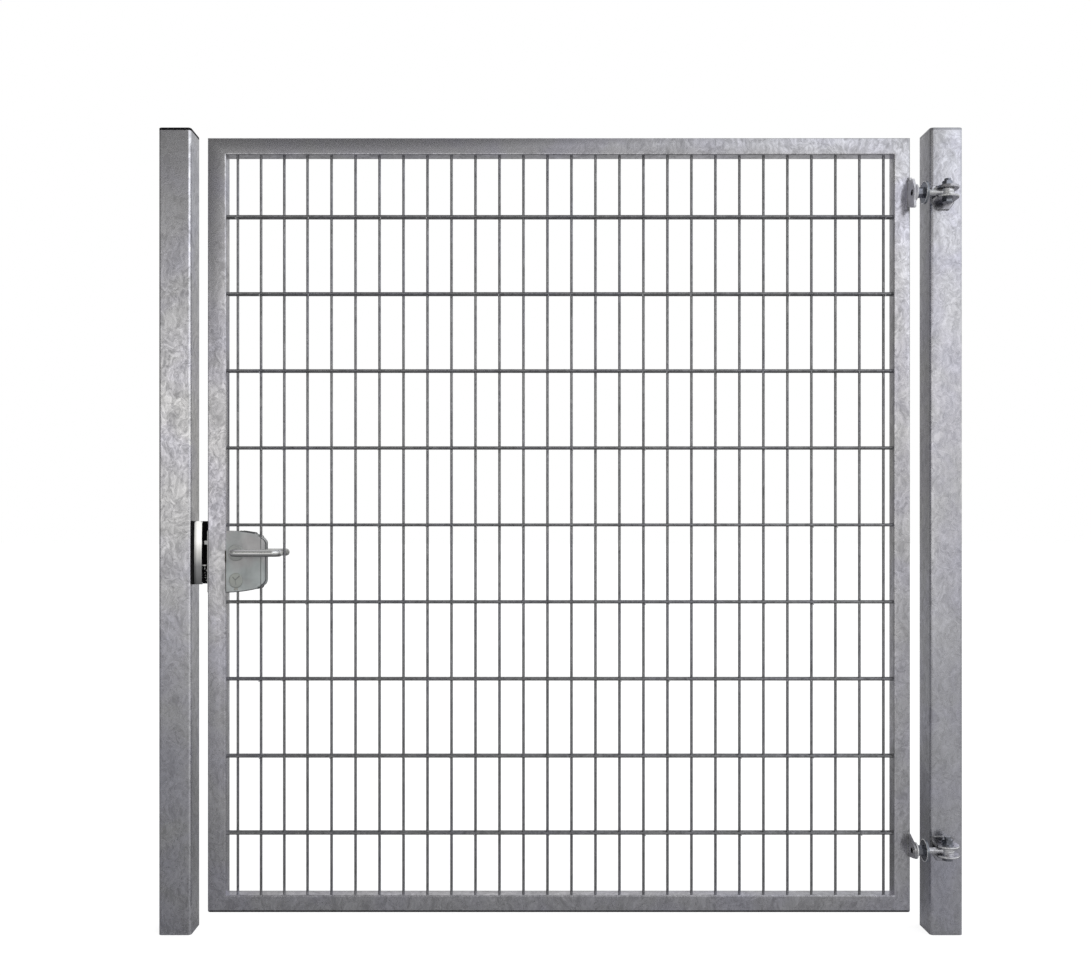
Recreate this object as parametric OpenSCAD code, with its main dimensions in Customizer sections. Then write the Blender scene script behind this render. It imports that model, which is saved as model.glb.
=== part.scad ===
// Single-leaf pedestrian gate: two square posts, a mitred tube frame with a
// welded double-rod mesh, a lock with lever handles, and two adjustable hinges.
// Millimetres. +X runs from the latch post to the hinge post, +Y to the back, +Z up.
// The origin is the centre of the hinge post's foot, at ground level.

/* [Overall size] */
// Clear width between the two posts
opening_width = 1910; // [1200:10:3000]
// Height of the leaf
leaf_height = 2000; // [1200:10:2600]
// Gap between the ground and the leaf
ground_gap = 60; // [30:5:150]
// Height of each post above the leaf
post_rise = 28; // [5:1:200]
// Gap between the latch post and the leaf
latch_gap = 43; // [40:1:60]
// Gap between the leaf and the hinge post
hinge_gap = 52; // [48:1:80]

/* [Posts] */
// Side of the square post
post_size = 84; // [70:1:120]
// Wall of the post
post_wall = 3; // [2:0.5:6]
// Outer corner radius of the post
post_corner_r = 6; // [3:0.5:10]
// Thickness of the post cap
cap_t = 3; // [2:0.5:6]
// Depth of the cap's plug inside the post
cap_plug_depth = 16; // [8:1:30]
// Wall of the cap's plug
cap_plug_wall = 2.5; // [1.5:0.5:5]
// Gap between the cap's plug and the post's wall
cap_plug_gap = 0.4; // [0.1:0.1:0.9]

/* [Leaf frame] */
// Side of the square frame tube, and depth of the whole leaf
tube_size = 40; // [40:1:60]
// Width of the lock stile, seen from the front
lock_stile_w = 46; // [40:1:60]
// Wall of the frame tube
tube_wall = 2; // [1.5:0.5:4]
// Outer corner radius of the frame tube
tube_corner_r = 4; // [2:0.5:6]

/* [Mesh] */
// Diameter of the upright wires
wire_d = 7; // [4:0.5:8]
// Diameter of the level rods, which run in pairs
rod_d = 8; // [5:0.5:10]
// Distance between the upright wires
wire_pitch = 62.3; // [40:0.1:100]
// Distance between the pairs of level rods
rod_pitch = 200; // [100:5:250]
// Distance from the lock stile to the first wire
first_wire = 24.5; // [20:0.5:60]
// Depth to which a rod and a wire melt together at a weld
weld_sink = 0.5; // [0.2:0.1:1]
// Number of flat sides on each rod and wire
wire_sides = 8; // [8:4:12]

/* [Lock] */
// Height of the lever's spindle above the ground
lever_height = 988; // [900:1:1100]
// Distance from the stile's outer face to the spindle
backset = 73; // [70:1:80]
// Distance from the spindle down to the key cylinder
lock_centres = 72; // [66:1:92]
// Width of the lock case beside the stile
case_w = 103; // [90:1:130]
// Height of the lock case
case_h = 160; // [150:1:220]
// How far the spindle sits above the middle of the case
spindle_rise = 23; // [10:1:40]
// How far the case is set back from the frame's faces
case_recess = 1; // [0.5:0.5:4]
// Radius of the case's gently arched top and bottom edges
case_arch_r = 350; // [200:10:900]
// Radius of the case's outer corners, seen from the front
case_corner_r = 20; // [8:1:30]
// Radius of the case's upright outer edges
case_edge_r = 16; // [4:1:18]
// Thickness of the forend plate
forend_t = 3; // [2:0.5:5]
// Width of the forend plate
forend_w = 24; // [20:1:32]

/* [Latch] */
// Height of the latch above the spindle
latch_rise = 26; // [20:1:32]
// Width of the latch, across the leaf
latch_w = 14; // [10:1:18]
// Height of the latch
latch_h = 10; // [8:1:16]
// Length of latch held behind the strike's lip
latch_hold = 8; // [5:1:12]
// Distance by which the lever draws the latch back
latch_travel = 14; // [12:1:16]
// Length of latch inside the lock case
latch_tail = 12; // [8:1:20]
// Height of the dead bolt
dead_bolt_h = 24; // [18:1:30]
// Width of the dead bolt, across the leaf
dead_bolt_w = 12; // [8:1:16]
// Length of dead bolt inside the lock case
dead_bolt_tail = 19; // [12:1:22]
// Gap round each bolt where it slides
bolt_gap = 0.4; // [0.2:0.1:1]

/* [Levers] */
// Diameter of the lever's round bar
lever_d = 19; // [14:1:24]
// Distance from the lock case to the lever's grip, centre line
lever_standoff = 46; // [40:1:60]
// Reach of the lever from the spindle to its far end
lever_reach = 125; // [100:1:150]
// Radius of the lever's bends, on the centre line
lever_bend_r = 15; // [12:1:20]
// Length of the straight return at the lever's far end
lever_return = 10; // [4:1:20]
// Diameter of the rose behind the lever
rose_d = 42; // [30:1:50]
// Thickness of the rose
rose_t = 5; // [3:0.5:8]
// Gap between the lever and the lock case
lever_gap = 0.3; // [0.2:0.1:0.8]
// Side of the square spindle
spindle_size = 8; // [7:0.5:10]

/* [Strike] */
// Height of the strike
strike_h = 164; // [150:1:220]
// Thickness of the strike's base on the post
strike_base_t = 6; // [3:0.5:8]
// Width of the rounded lip in front of the latch
lip_w = 22; // [16:1:24]
// Thickness of the lip
lip_t = 7; // [4:0.5:8]
// Radius of the lip's crown, seen from above
lip_crown_r = 26; // [18:1:60]
// Radius of the lip's crown, seen from the side
lip_barrel_r = 900; // [700:50:3000]
// How far the lip sits behind the front of the post
lip_setback = 2; // [0:0.5:6]
// Gap between the closed leaf and the ribbed stop behind it
stop_gap = 5; // [5:0.5:12]
// Thickness of the stop
stop_t = 8; // [6:0.5:14]
// Length of stop behind the stile
stop_lap = 15; // [8:1:30]
// Depth of the buffer ribs
rib_depth = 2; // [1:0.5:3]
// Width of one buffer rib
rib_w = 3; // [2:0.5:4]

/* [Hinges] */
// Distance from the leaf's top to the upper hinge
upper_hinge_drop = 152; // [100:1:400]
// Distance from the leaf's bottom to the lower hinge
lower_hinge_rise = 169; // [100:1:400]
// Distance from the post's inner face to the hinge pin
pin_inset = 31; // [28:1:60]
// Distance from the post's front face to the hinge pin
pin_standoff = 35; // [32:1:50]
// Diameter of the hinge pin
pin_d = 16; // [12:1:20]
// Radial gap between the pin and what it passes through
pin_gap = 0.3; // [0.1:0.1:0.5]
// Radius of the bracket's rounded noses
nose_r = 28; // [24:1:34]
// Thickness of the bracket's plates
bracket_t = 6; // [5:0.5:10]
// Height of the bracket's back plate above the bolt
bracket_above = 26; // [22:1:50]
// Height of the bracket's back plate below the bolt
bracket_below = 34; // [26:1:50]
// Width of the back plate's foot, where it has tapered in
bracket_foot_w = 30; // [20:1:50]
// Height of the eye
eye_h = 17; // [16:1:28]
// Outer diameter of the eye
eye_d = 32; // [28:1:46]
// Gap above the eye in its bracket
eye_gap_above = 1; // [0.8:0.1:3]
// Gap below the eye, where it rests on the bracket
eye_gap_below = 0.3; // [0.1:0.1:0.5]
// Diameter of the threaded eye bolt
bolt_d = 16; // [14:1:24]
// Thickness of the adjuster plate on the stile
plate_t = 6; // [5:0.5:10]
// How far the adjuster plate stands in front of the pin's line
plate_lead = 17; // [14:1:25]
// Height of the upper adjuster plate above its bolt, at the stile
upper_plate_above = 55; // [30:1:70]
// Height of the lower adjuster plate above its bolt, at the stile
lower_plate_above = 34; // [30:1:70]
// Height of both adjuster plates above their bolts, at the front
plate_nose = 24; // [18:1:28]
// Height of both adjuster plates below their bolts
plate_below = 34; // [22:1:60]
// Thickness of one of the two locking nuts
nut_t = 11; // [8:0.5:16]
// Diameter of the wide washer on the eye bolt
washer_d = 58; // [40:1:60]
// Thickness of the wide washer
washer_t = 5; // [3:0.5:6]

/* [Hidden] */

$fn = 48;
large_arc_fn = 720;
zinc = [0.66, 0.67, 0.69];
zinc_dark = [0.50, 0.51, 0.54];
case_grey = [0.58, 0.60, 0.58];
bright_steel = [0.80, 0.81, 0.83];
black_plastic = [0.06, 0.06, 0.06];
overrun = 1;
least_corner_r = 0.5;

// Posts and leaf, placed from the hinge post's centre line
post_half = post_size / 2;
front_y = -post_half;
leaf_width = opening_width - latch_gap - hinge_gap;
hinge_side_x = -post_half - hinge_gap;
lock_side_x = hinge_side_x - leaf_width;
latch_post_x = -post_size - opening_width;
latch_face_x = latch_post_x + post_half;
leaf_top = ground_gap + leaf_height;
post_height = leaf_top + post_rise;
leaf_mid_y = front_y + tube_size / 2;
leaf_back_y = front_y + tube_size;

// Mesh, between the inner faces of the frame
mesh_left = lock_side_x + lock_stile_w;
mesh_right = hinge_side_x - tube_size;
mesh_bottom = ground_gap + tube_size;
mesh_top = leaf_top - tube_size;
wire_count = floor((mesh_right - mesh_left - first_wire - wire_d) / wire_pitch) + 1;
rod_count = round(leaf_height / rod_pitch) - 1;
first_rod = ground_gap + (leaf_height - (rod_count - 1) * rod_pitch) / 2;
rod_offset = (wire_d + rod_d) / 2 - weld_sink;
split_wire = floor(wire_count / 2);
mesh_split = mesh_left + first_wire + (split_wire - 0.5) * wire_pitch;

// Lock
spindle_x = lock_side_x + backset;
case_mid_z = lever_height - spindle_rise;
case_t = tube_size - 2 * case_recess;
case_front_y = leaf_mid_y - case_t / 2;
case_back_y = leaf_mid_y + case_t / 2;
cylinder_z = lever_height - lock_centres;
cylinder_d = 17;
cylinder_tail_w = 10;
cylinder_tail_h = 25;
cylinder_stand = 4;
cylinder_gap = 0.2;
escutcheon_t = 3;
escutcheon_w = 32;
escutcheon_h = 42;
escutcheon_drop = 7;
spindle_gap = 1;
spindle_hole_d = spindle_size * sqrt(2) + 2 * spindle_gap;
spindle_socket_depth = 19;
spindle_socket_gap = 0.1;
spindle_grip = 15;
rose_gap = 0.5;
rose_hole_d = lever_d + 2 * rose_gap;
latch_z = lever_height + latch_rise;
latch_tail_x = mesh_left + latch_tail;
latch_tip_flat = 3;
latch_slant = 11;
latch_end_gap = 2;
dead_bolt_z = lever_height - lock_centres / 2;
dead_bolt_end_gap = 1;
stile_slot_w = 20;
stile_slot_gap = 3;

// Strike
lip_front_y = front_y + lip_setback;
lip_tip_x = latch_face_x + strike_base_t + lip_w;
stop_front_y = leaf_back_y + stop_gap;
stop_back_y = stop_front_y + rib_depth + stop_t;
stop_end_x = lock_side_x + stop_lap;
strike_bottom = lever_height - strike_h / 2;
latch_tip_x = lip_tip_x - latch_hold;
rib_pitch = 2 * rib_w;
lip_sweep = 2 * asin(strike_h / lip_barrel_r);

// Hinges
pin_x = -post_half + pin_inset;
pin_y = front_y - pin_standoff;
upper_z = leaf_top - upper_hinge_drop;
lower_z = ground_gap + lower_hinge_rise;
lower_flange_top = -eye_h / 2 - eye_gap_below;
upper_flange_bottom = eye_h / 2 + eye_gap_above;
pin_head_af = 24;
pin_head_t = 10;
pin_nut_t = 13;
pin_collar_d = 31;
pin_collar_t = 3;
pin_end = 7;
bracket_corner_r = 5;
thread_gap = 0.1;
bolt_gap_in_plate = 0.2;
bolt_nut_af = 24;
bolt_end = 2;
nut_chamfer = 1.2;
plate_x = hinge_side_x - plate_t;
plate_corner_r = 8;

// ---- Shapes used more than once ----

module rounded_rectangle(w, h, r) {
    translate([-w / 2 + r, -h / 2]) square([w - 2 * r, h]);
    translate([-w / 2, -h / 2 + r]) square([w, h - 2 * r]);
    for (x = [-1, 1], y = [-1, 1])
        translate([x * (w / 2 - r), y * (h / 2 - r)]) circle(r);
}

module tube_section(w, h, wall, r) {
    difference() {
        rounded_rectangle(w, h, r);
        rounded_rectangle(w - 2 * wall, h - 2 * wall, max(r - wall, least_corner_r));
    }
}

// A frame tube along +Z with its outer side on x = 0. Each end is mitred to meet
// a tube of the given width.
module mitred_tube(w, length, start_w, end_w) {
    reach = w + overrun;
    start = start_w / w;
    end = end_w / w;
    intersection() {
        translate([w / 2, tube_size / 2, 0])
            linear_extrude(length) tube_section(w, tube_size, tube_wall, tube_corner_r);
        translate([0, tube_size + overrun, 0]) rotate([90, 0, 0])
            linear_extrude(tube_size + 2 * overrun)
                polygon([
                    [-overrun, -overrun * start], [reach, reach * start],
                    [reach, length - reach * end], [-overrun, length + overrun * end]
                ]);
    }
}

// A straight rod or wire along +Z with flat sides, its size across the flats
module flat_sided_bar(d, length) {
    rotate(180 / wire_sides)
        cylinder(d = d / cos(180 / wire_sides), h = length, $fn = wire_sides);
}

// A hexagon nut or bolt head along +Z, with its corners turned off at both faces
module hexagon(across_flats, length) {
    corner_r = across_flats / cos(30) / 2;
    intersection() {
        cylinder(r = corner_r, h = length, $fn = 6);
        rotate_extrude() polygon([
            [0, 0], [corner_r - nut_chamfer, 0], [corner_r, nut_chamfer / 2],
            [corner_r, length - nut_chamfer / 2], [corner_r - nut_chamfer, length], [0, length]
        ]);
    }
}

// A hole along +Z that runs past both faces of a piece of the given thickness
module hole(d, t) {
    translate([0, 0, -overrun]) cylinder(d = d, h = t + 2 * overrun);
}

// ---- Posts ----

module post() {
    color(zinc) linear_extrude(post_height)
        tube_section(post_size, post_size, post_wall, post_corner_r);
}

module post_cap() {
    plug = post_size - 2 * (post_wall + cap_plug_gap);
    color(black_plastic) {
        translate([0, 0, post_height])
            linear_extrude(cap_t) rounded_rectangle(post_size, post_size, post_corner_r);
        translate([0, 0, post_height - cap_plug_depth]) linear_extrude(cap_plug_depth)
            tube_section(plug, plug, cap_plug_wall, post_corner_r - post_wall);
    }
}

module hinge_post() post();
module hinge_post_cap() post_cap();
module latch_post() translate([latch_post_x, 0, 0]) post();
module latch_post_cap() translate([latch_post_x, 0, 0]) post_cap();

// ---- Leaf frame ----

module lock_stile() {
    color(zinc) difference() {
        translate([lock_side_x, front_y, ground_gap])
            mitred_tube(lock_stile_w, leaf_height, tube_size, tube_size);
        stile_slot(latch_z, latch_h);
        stile_slot(dead_bolt_z, dead_bolt_h);
    }
}

// The way through both walls of the lock stile for one bolt
module stile_slot(z, bolt_h) {
    h = bolt_h + 2 * stile_slot_gap;
    translate([lock_side_x - overrun, leaf_mid_y - stile_slot_w / 2, z - h / 2])
        cube([lock_stile_w + 2 * overrun, stile_slot_w, h]);
}

module hinge_stile() {
    color(zinc) translate([hinge_side_x, front_y, ground_gap])
        mirror([1, 0, 0]) mitred_tube(tube_size, leaf_height, tube_size, tube_size);
}

module top_rail() {
    color(zinc) translate([lock_side_x, front_y, leaf_top])
        rotate([0, 90, 0]) mitred_tube(tube_size, leaf_width, lock_stile_w, tube_size);
}

module bottom_rail() {
    color(zinc) translate([lock_side_x, front_y, ground_gap])
        mirror([0, 0, 1]) rotate([0, 90, 0])
            mitred_tube(tube_size, leaf_width, lock_stile_w, tube_size);
}

// ---- Mesh ----

// Wires number first to last, with the pairs of rods from x_from to x_to
module mesh_part(first, last, x_from, x_to) {
    color(zinc_dark) difference() {
        union() {
            for (i = [first : last])
                translate([mesh_left + first_wire + i * wire_pitch, leaf_mid_y, mesh_bottom])
                    flat_sided_bar(wire_d, mesh_top - mesh_bottom);
            for (row = [0 : rod_count - 1], side = [-1, 1])
                translate([x_from, leaf_mid_y + side * rod_offset, first_rod + row * rod_pitch])
                    rotate([0, 90, 0]) flat_sided_bar(rod_d, x_to - x_from);
        }
        case_block();
    }
}

module mesh_lock_half() mesh_part(0, split_wire - 1, mesh_left, mesh_split);
module mesh_hinge_half() mesh_part(split_wire, wire_count - 1, mesh_split, mesh_right);

// ---- Lock ----

// Front view of the case: arched top and bottom, round outer corners
module case_outline() {
    corner_drop = case_arch_r - sqrt(pow(case_arch_r, 2) - pow(case_w, 2));
    corner_z = case_h / 2 - corner_drop - case_corner_r;
    intersection() {
        translate([0, case_h / 2 - case_arch_r]) circle(case_arch_r, $fn = large_arc_fn);
        translate([0, case_arch_r - case_h / 2]) circle(case_arch_r, $fn = large_arc_fn);
        union() {
            translate([0, -case_h / 2]) square([case_w - case_corner_r, case_h]);
            translate([0, -corner_z]) square([case_w, 2 * corner_z]);
            for (side = [-1, 1])
                translate([case_w - case_corner_r, side * corner_z]) circle(case_corner_r);
        }
    }
}

// Plan view of the case: square to the stile, round at the outer edges
module case_plan() {
    translate([0, -case_t / 2]) square([case_w - case_edge_r, case_t]);
    translate([0, -case_t / 2 + case_edge_r]) square([case_w, case_t - 2 * case_edge_r]);
    for (side = [-1, 1])
        translate([case_w - case_edge_r, side * (case_t / 2 - case_edge_r)]) circle(case_edge_r);
}

module case_block() {
    translate([mesh_left, leaf_mid_y, case_mid_z]) intersection() {
        translate([0, case_t, 0]) rotate([90, 0, 0]) linear_extrude(2 * case_t) case_outline();
        translate([0, 0, -case_h]) linear_extrude(2 * case_h) case_plan();
    }
}

// Section of the key cylinder: a round core above a narrow tail
module cylinder_section(grow = 0) {
    circle(d = cylinder_d + 2 * grow);
    translate([-cylinder_tail_w / 2 - grow, -cylinder_tail_h - grow])
        square([cylinder_tail_w + 2 * grow, cylinder_tail_h + grow]);
}

// Extrudes a front-view section along Y between two depths
module through(y_from, y_to) {
    translate([0, y_to, 0]) rotate([90, 0, 0]) linear_extrude(y_to - y_from) children();
}

module lock_case() {
    color(case_grey) difference() {
        case_block();
        translate([spindle_x, 0, lever_height])
            through(case_front_y - overrun, case_back_y + overrun) circle(d = spindle_hole_d);
        translate([spindle_x, 0, cylinder_z])
            through(case_front_y - overrun, case_back_y + overrun) cylinder_section(cylinder_gap);
        bolt_way(latch_tail_x + latch_travel + latch_end_gap, latch_z, latch_w, latch_h);
        bolt_way(mesh_left + dead_bolt_tail + dead_bolt_end_gap, dead_bolt_z, dead_bolt_w, dead_bolt_h);
    }
}

// The pocket in which a bolt slides, from the stile to x_end
module bolt_way(x_end, z, w, h) {
    way_w = w + 2 * bolt_gap;
    way_h = h + 2 * bolt_gap;
    translate([lock_side_x - forend_t - overrun, leaf_mid_y - way_w / 2, z - way_h / 2])
        cube([x_end - lock_side_x + forend_t + overrun, way_w, way_h]);
}

module lock_forend() {
    color(bright_steel) difference() {
        translate([lock_side_x - forend_t, leaf_mid_y - forend_w / 2, case_mid_z - case_h / 2])
            cube([forend_t, forend_w, case_h]);
        bolt_way(lock_side_x + overrun, latch_z, latch_w, latch_h);
        bolt_way(lock_side_x + overrun, dead_bolt_z, dead_bolt_w, dead_bolt_h);
    }
}

module dead_bolt() {
    color(bright_steel)
        translate([lock_side_x - forend_t, leaf_mid_y - dead_bolt_w / 2, dead_bolt_z - dead_bolt_h / 2])
            cube([forend_t + lock_stile_w + dead_bolt_tail, dead_bolt_w, dead_bolt_h]);
}

module key_cylinder() {
    color(bright_steel) translate([spindle_x, 0, cylinder_z])
        through(case_front_y - cylinder_stand, case_back_y + cylinder_stand) cylinder_section();
}

module escutcheon(y_from) {
    straight = (escutcheon_h - escutcheon_w) / 2;
    color(case_grey) translate([spindle_x, 0, cylinder_z]) through(y_from, y_from + escutcheon_t)
        difference() {
            translate([0, -escutcheon_drop]) union() {
                for (side = [-1, 1])
                    translate([0, side * straight]) circle(d = escutcheon_w);
                translate([-escutcheon_w / 2, -straight]) square([escutcheon_w, 2 * straight]);
            }
            cylinder_section(cylinder_gap);
        }
}

module front_escutcheon() escutcheon(case_front_y - escutcheon_t);
module rear_escutcheon() escutcheon(case_back_y);

module rose(y_from) {
    color(case_grey) translate([spindle_x, 0, lever_height]) through(y_from, y_from + rose_t)
        difference() {
            circle(d = rose_d);
            circle(d = rose_hole_d);
        }
}

module front_rose() rose(case_front_y - rose_t);
module rear_rose() rose(case_back_y);

// A bent bar that leaves the spindle towards -Y, turns along +X and returns
module lever() {
    grip = lever_reach - lever_d / 2;
    neck = lever_standoff - lever_bend_r;
    color(bright_steel) difference() {
        union() {
            rotate([90, 0, 0]) cylinder(d = lever_d, h = neck);
            translate([lever_bend_r, -neck, 0])
                rotate(180) rotate_extrude(angle = 90) translate([lever_bend_r, 0]) circle(d = lever_d);
            translate([lever_bend_r, -lever_standoff, 0])
                rotate([0, 90, 0]) cylinder(d = lever_d, h = grip - 2 * lever_bend_r);
            translate([grip - lever_bend_r, -neck, 0])
                rotate(-90) rotate_extrude(angle = 90) translate([lever_bend_r, 0]) circle(d = lever_d);
            translate([grip, -neck, 0])
                rotate([-90, 0, 0]) cylinder(d = lever_d, h = lever_return);
        }
        rotate([90, 0, 0]) translate([0, 0, -overrun])
            linear_extrude(spindle_socket_depth + overrun)
                square(spindle_size + 2 * spindle_socket_gap, center = true);
    }
}

module front_lever() {
    translate([spindle_x, case_front_y - lever_gap, lever_height]) lever();
}

module rear_lever() {
    translate([spindle_x, case_back_y + lever_gap, lever_height]) mirror([0, 1, 0]) lever();
}

module spindle() {
    length = case_t + 2 * (lever_gap + spindle_grip);
    color(bright_steel)
        translate([spindle_x, leaf_mid_y, lever_height])
            cube([spindle_size, length, spindle_size], center = true);
}

// The latch, with the slanted face that pushes it back as the leaf closes
module latch_bolt() {
    side = latch_w / 2;
    color(bright_steel) translate([0, leaf_mid_y, latch_z - latch_h / 2]) linear_extrude(latch_h)
        polygon([
            [latch_tip_x, side], [latch_tip_x, side - latch_tip_flat],
            [latch_tip_x + latch_slant, -side], [latch_tail_x, -side], [latch_tail_x, side]
        ]);
}

// ---- Strike ----

module strike_housing() {
    color(black_plastic) translate([0, 0, strike_bottom]) linear_extrude(strike_h) {
        translate([latch_face_x, lip_front_y]) square([strike_base_t, stop_back_y - lip_front_y]);
        translate([latch_face_x, stop_back_y - stop_t])
            square([stop_end_x - latch_face_x, stop_t]);
        for (x = [latch_face_x + strike_base_t + rib_w : rib_pitch : stop_end_x - rib_w])
            translate([x, stop_front_y]) square([rib_w, rib_depth + overrun]);
    }
}

// The lip is crowned both ways, like a slice of a barrel, and flat at the back
module strike_lip() {
    inner_r = lip_barrel_r - 2 * lip_t;
    color(bright_steel) intersection() {
        translate([latch_face_x + strike_base_t, lip_front_y, strike_bottom])
            cube([lip_w, lip_t, strike_h]);
        translate([latch_face_x + strike_base_t, lip_front_y + lip_barrel_r, lever_height])
            rotate([0, 90, 0]) rotate(-90 - lip_sweep / 2)
            rotate_extrude(angle = lip_sweep, $fn = large_arc_fn)
                intersection() {
                    translate([inner_r, 0]) square([2 * lip_t, lip_w]);
                    translate([lip_barrel_r - lip_crown_r, lip_w / 2]) circle(lip_crown_r);
                }
    }
}

// ---- Hinges ----

module hinge_bracket(z) {
    flange_depth = pin_standoff - bracket_t;
    color(zinc) translate([pin_x, 0, z]) {
        translate([0, front_y, 0]) rotate([90, 0, 0]) linear_extrude(bracket_t) bracket_back();
        for (bottom = [upper_flange_bottom, lower_flange_top - bracket_t])
            translate([0, 0, bottom]) linear_extrude(bracket_t) difference() {
                union() {
                    translate([-nose_r, pin_y]) square([2 * nose_r, flange_depth]);
                    translate([0, pin_y]) circle(nose_r);
                }
                translate([0, pin_y]) circle(d = pin_d + 2 * pin_gap);
            }
    }
}

// Front view of the bracket's back plate: round at the top, tapered to a foot
module bracket_back() {
    r = bracket_corner_r;
    taper_z = lower_flange_top - bracket_t;
    translate([-nose_r, taper_z]) square([2 * nose_r, bracket_above - r - taper_z]);
    translate([-nose_r + r, bracket_above - r]) square([2 * (nose_r - r), r]);
    for (side = [-1, 1])
        translate([side * (nose_r - r), bracket_above - r]) circle(r);
    polygon([
        [-nose_r, taper_z], [nose_r, taper_z],
        [bracket_foot_w / 2, -bracket_below], [-bracket_foot_w / 2, -bracket_below]
    ]);
}

module upper_hinge_bracket() hinge_bracket(upper_z);
module lower_hinge_bracket() hinge_bracket(lower_z);

// A hexagon-headed pin that goes up through both noses
module hinge_pin(z) {
    head_top = lower_flange_top - bracket_t;
    pin_top = upper_flange_bottom + bracket_t + pin_nut_t + pin_end;
    color(bright_steel) translate([pin_x, pin_y, z]) {
        translate([0, 0, head_top - pin_head_t]) hexagon(pin_head_af, pin_head_t);
        translate([0, 0, head_top]) cylinder(d = pin_d, h = pin_top - head_top);
    }
}

module upper_hinge_pin() hinge_pin(upper_z);
module lower_hinge_pin() hinge_pin(lower_z);

// A nut with a round collar, on top of the bracket
module pin_nut(z) {
    color(bright_steel) translate([pin_x, pin_y, z + upper_flange_bottom + bracket_t])
        difference() {
            union() {
                hexagon(pin_head_af, pin_nut_t);
                cylinder(d = pin_collar_d, h = pin_collar_t);
            }
            hole(pin_d + 2 * thread_gap, pin_nut_t);
        }
}

module upper_pin_nut() pin_nut(upper_z);
module lower_pin_nut() pin_nut(lower_z);

module eye_bolt(z) {
    shank = pin_x - plate_x + bolt_end;
    color(zinc) translate([pin_x, pin_y, z]) difference() {
        union() {
            translate([0, 0, -eye_h / 2]) cylinder(d = eye_d, h = eye_h);
            rotate([0, -90, 0]) cylinder(d = bolt_d, h = shank);
        }
        translate([0, 0, -eye_h]) cylinder(d = pin_d + 2 * pin_gap, h = 2 * eye_h);
    }
}

module upper_eye_bolt() eye_bolt(upper_z);
module lower_eye_bolt() eye_bolt(lower_z);

// A plate welded on edge to the front of the stile, bored for the eye bolt. Its top
// slopes down to the front, and its front corners are round.
module adjuster_plate(z, above) {
    r = plate_corner_r;
    depth = plate_lead + front_y - pin_y;
    color(zinc_dark) translate([plate_x, pin_y - plate_lead, z]) rotate([90, 0, 90])
        linear_extrude(plate_t) difference() {
            union() {
                translate([r, -plate_below]) square([depth - r, plate_below + plate_nose]);
                translate([0, r - plate_below]) square([depth, plate_below + plate_nose - 2 * r]);
                for (corner = [r - plate_below, plate_nose - r])
                    translate([r, corner]) circle(r);
                polygon([[r, plate_nose], [depth, plate_nose], [depth, above]]);
            }
            translate([plate_lead, 0]) circle(d = bolt_d + 2 * bolt_gap_in_plate);
        }
}

module upper_adjuster_plate() adjuster_plate(upper_z, upper_plate_above);
module lower_adjuster_plate() adjuster_plate(lower_z, lower_plate_above);

// Two nuts, locked against each other and against the plate
module lock_nuts(z) {
    color(bright_steel) translate([plate_x + plate_t, pin_y, z]) rotate([0, 90, 0]) difference() {
        for (i = [0, 1])
            translate([0, 0, i * nut_t]) hexagon(bolt_nut_af, nut_t);
        hole(bolt_d + 2 * thread_gap, 2 * nut_t);
    }
}

module upper_lock_nuts() lock_nuts(upper_z);
module lower_lock_nuts() lock_nuts(lower_z);

module washer(z) {
    color(zinc) translate([plate_x + plate_t + 2 * nut_t, pin_y, z]) rotate([0, 90, 0]) difference() {
        cylinder(d = washer_d, h = washer_t);
        hole(bolt_d + 2 * thread_gap, washer_t);
    }
}

module upper_washer() washer(upper_z);
module lower_washer() washer(lower_z);

hinge_post();
hinge_post_cap();
latch_post();
latch_post_cap();
upper_hinge_bracket();
lower_hinge_bracket();
upper_hinge_pin();
lower_hinge_pin();
upper_pin_nut();
lower_pin_nut();
strike_housing();
strike_lip();
lock_stile();
hinge_stile();
top_rail();
bottom_rail();
mesh_lock_half();
mesh_hinge_half();
lock_case();
lock_forend();
dead_bolt();
key_cylinder();
front_escutcheon();
rear_escutcheon();
front_rose();
rear_rose();
upper_adjuster_plate();
lower_adjuster_plate();
upper_eye_bolt();
lower_eye_bolt();
upper_lock_nuts();
lower_lock_nuts();
upper_washer();
lower_washer();
front_lever();
rear_lever();
spindle();
latch_bolt();
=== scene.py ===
"""Looks of the mesh panel gate: materials, mesh, welds, threads, lock, light and camera.

Metres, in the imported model's frame: +X to the hinge post, +Y to the back, +Z up.
"""
import math
import random

import bmesh
import bpy
from mathutils import Matrix, Vector


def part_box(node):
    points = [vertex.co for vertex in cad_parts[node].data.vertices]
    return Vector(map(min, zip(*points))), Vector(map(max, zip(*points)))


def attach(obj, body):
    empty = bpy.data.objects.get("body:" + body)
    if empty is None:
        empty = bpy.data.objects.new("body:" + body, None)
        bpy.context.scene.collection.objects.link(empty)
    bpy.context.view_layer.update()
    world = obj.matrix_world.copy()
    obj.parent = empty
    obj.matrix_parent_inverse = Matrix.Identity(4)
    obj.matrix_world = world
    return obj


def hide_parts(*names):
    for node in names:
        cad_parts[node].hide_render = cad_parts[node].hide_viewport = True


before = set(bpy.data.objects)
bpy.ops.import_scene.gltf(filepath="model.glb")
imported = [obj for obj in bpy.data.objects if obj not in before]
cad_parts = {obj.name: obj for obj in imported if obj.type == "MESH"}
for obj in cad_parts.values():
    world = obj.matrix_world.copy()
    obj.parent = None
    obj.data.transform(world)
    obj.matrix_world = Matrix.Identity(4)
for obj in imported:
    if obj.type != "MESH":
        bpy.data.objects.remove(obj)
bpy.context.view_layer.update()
scene = bpy.context.scene
MM = 0.001


# ---- Where things are ----

def middle(low, high):
    """The point halfway between two corners, as plain numbers."""
    return [(first + second) / 2 for first, second in zip(low, high)]


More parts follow.
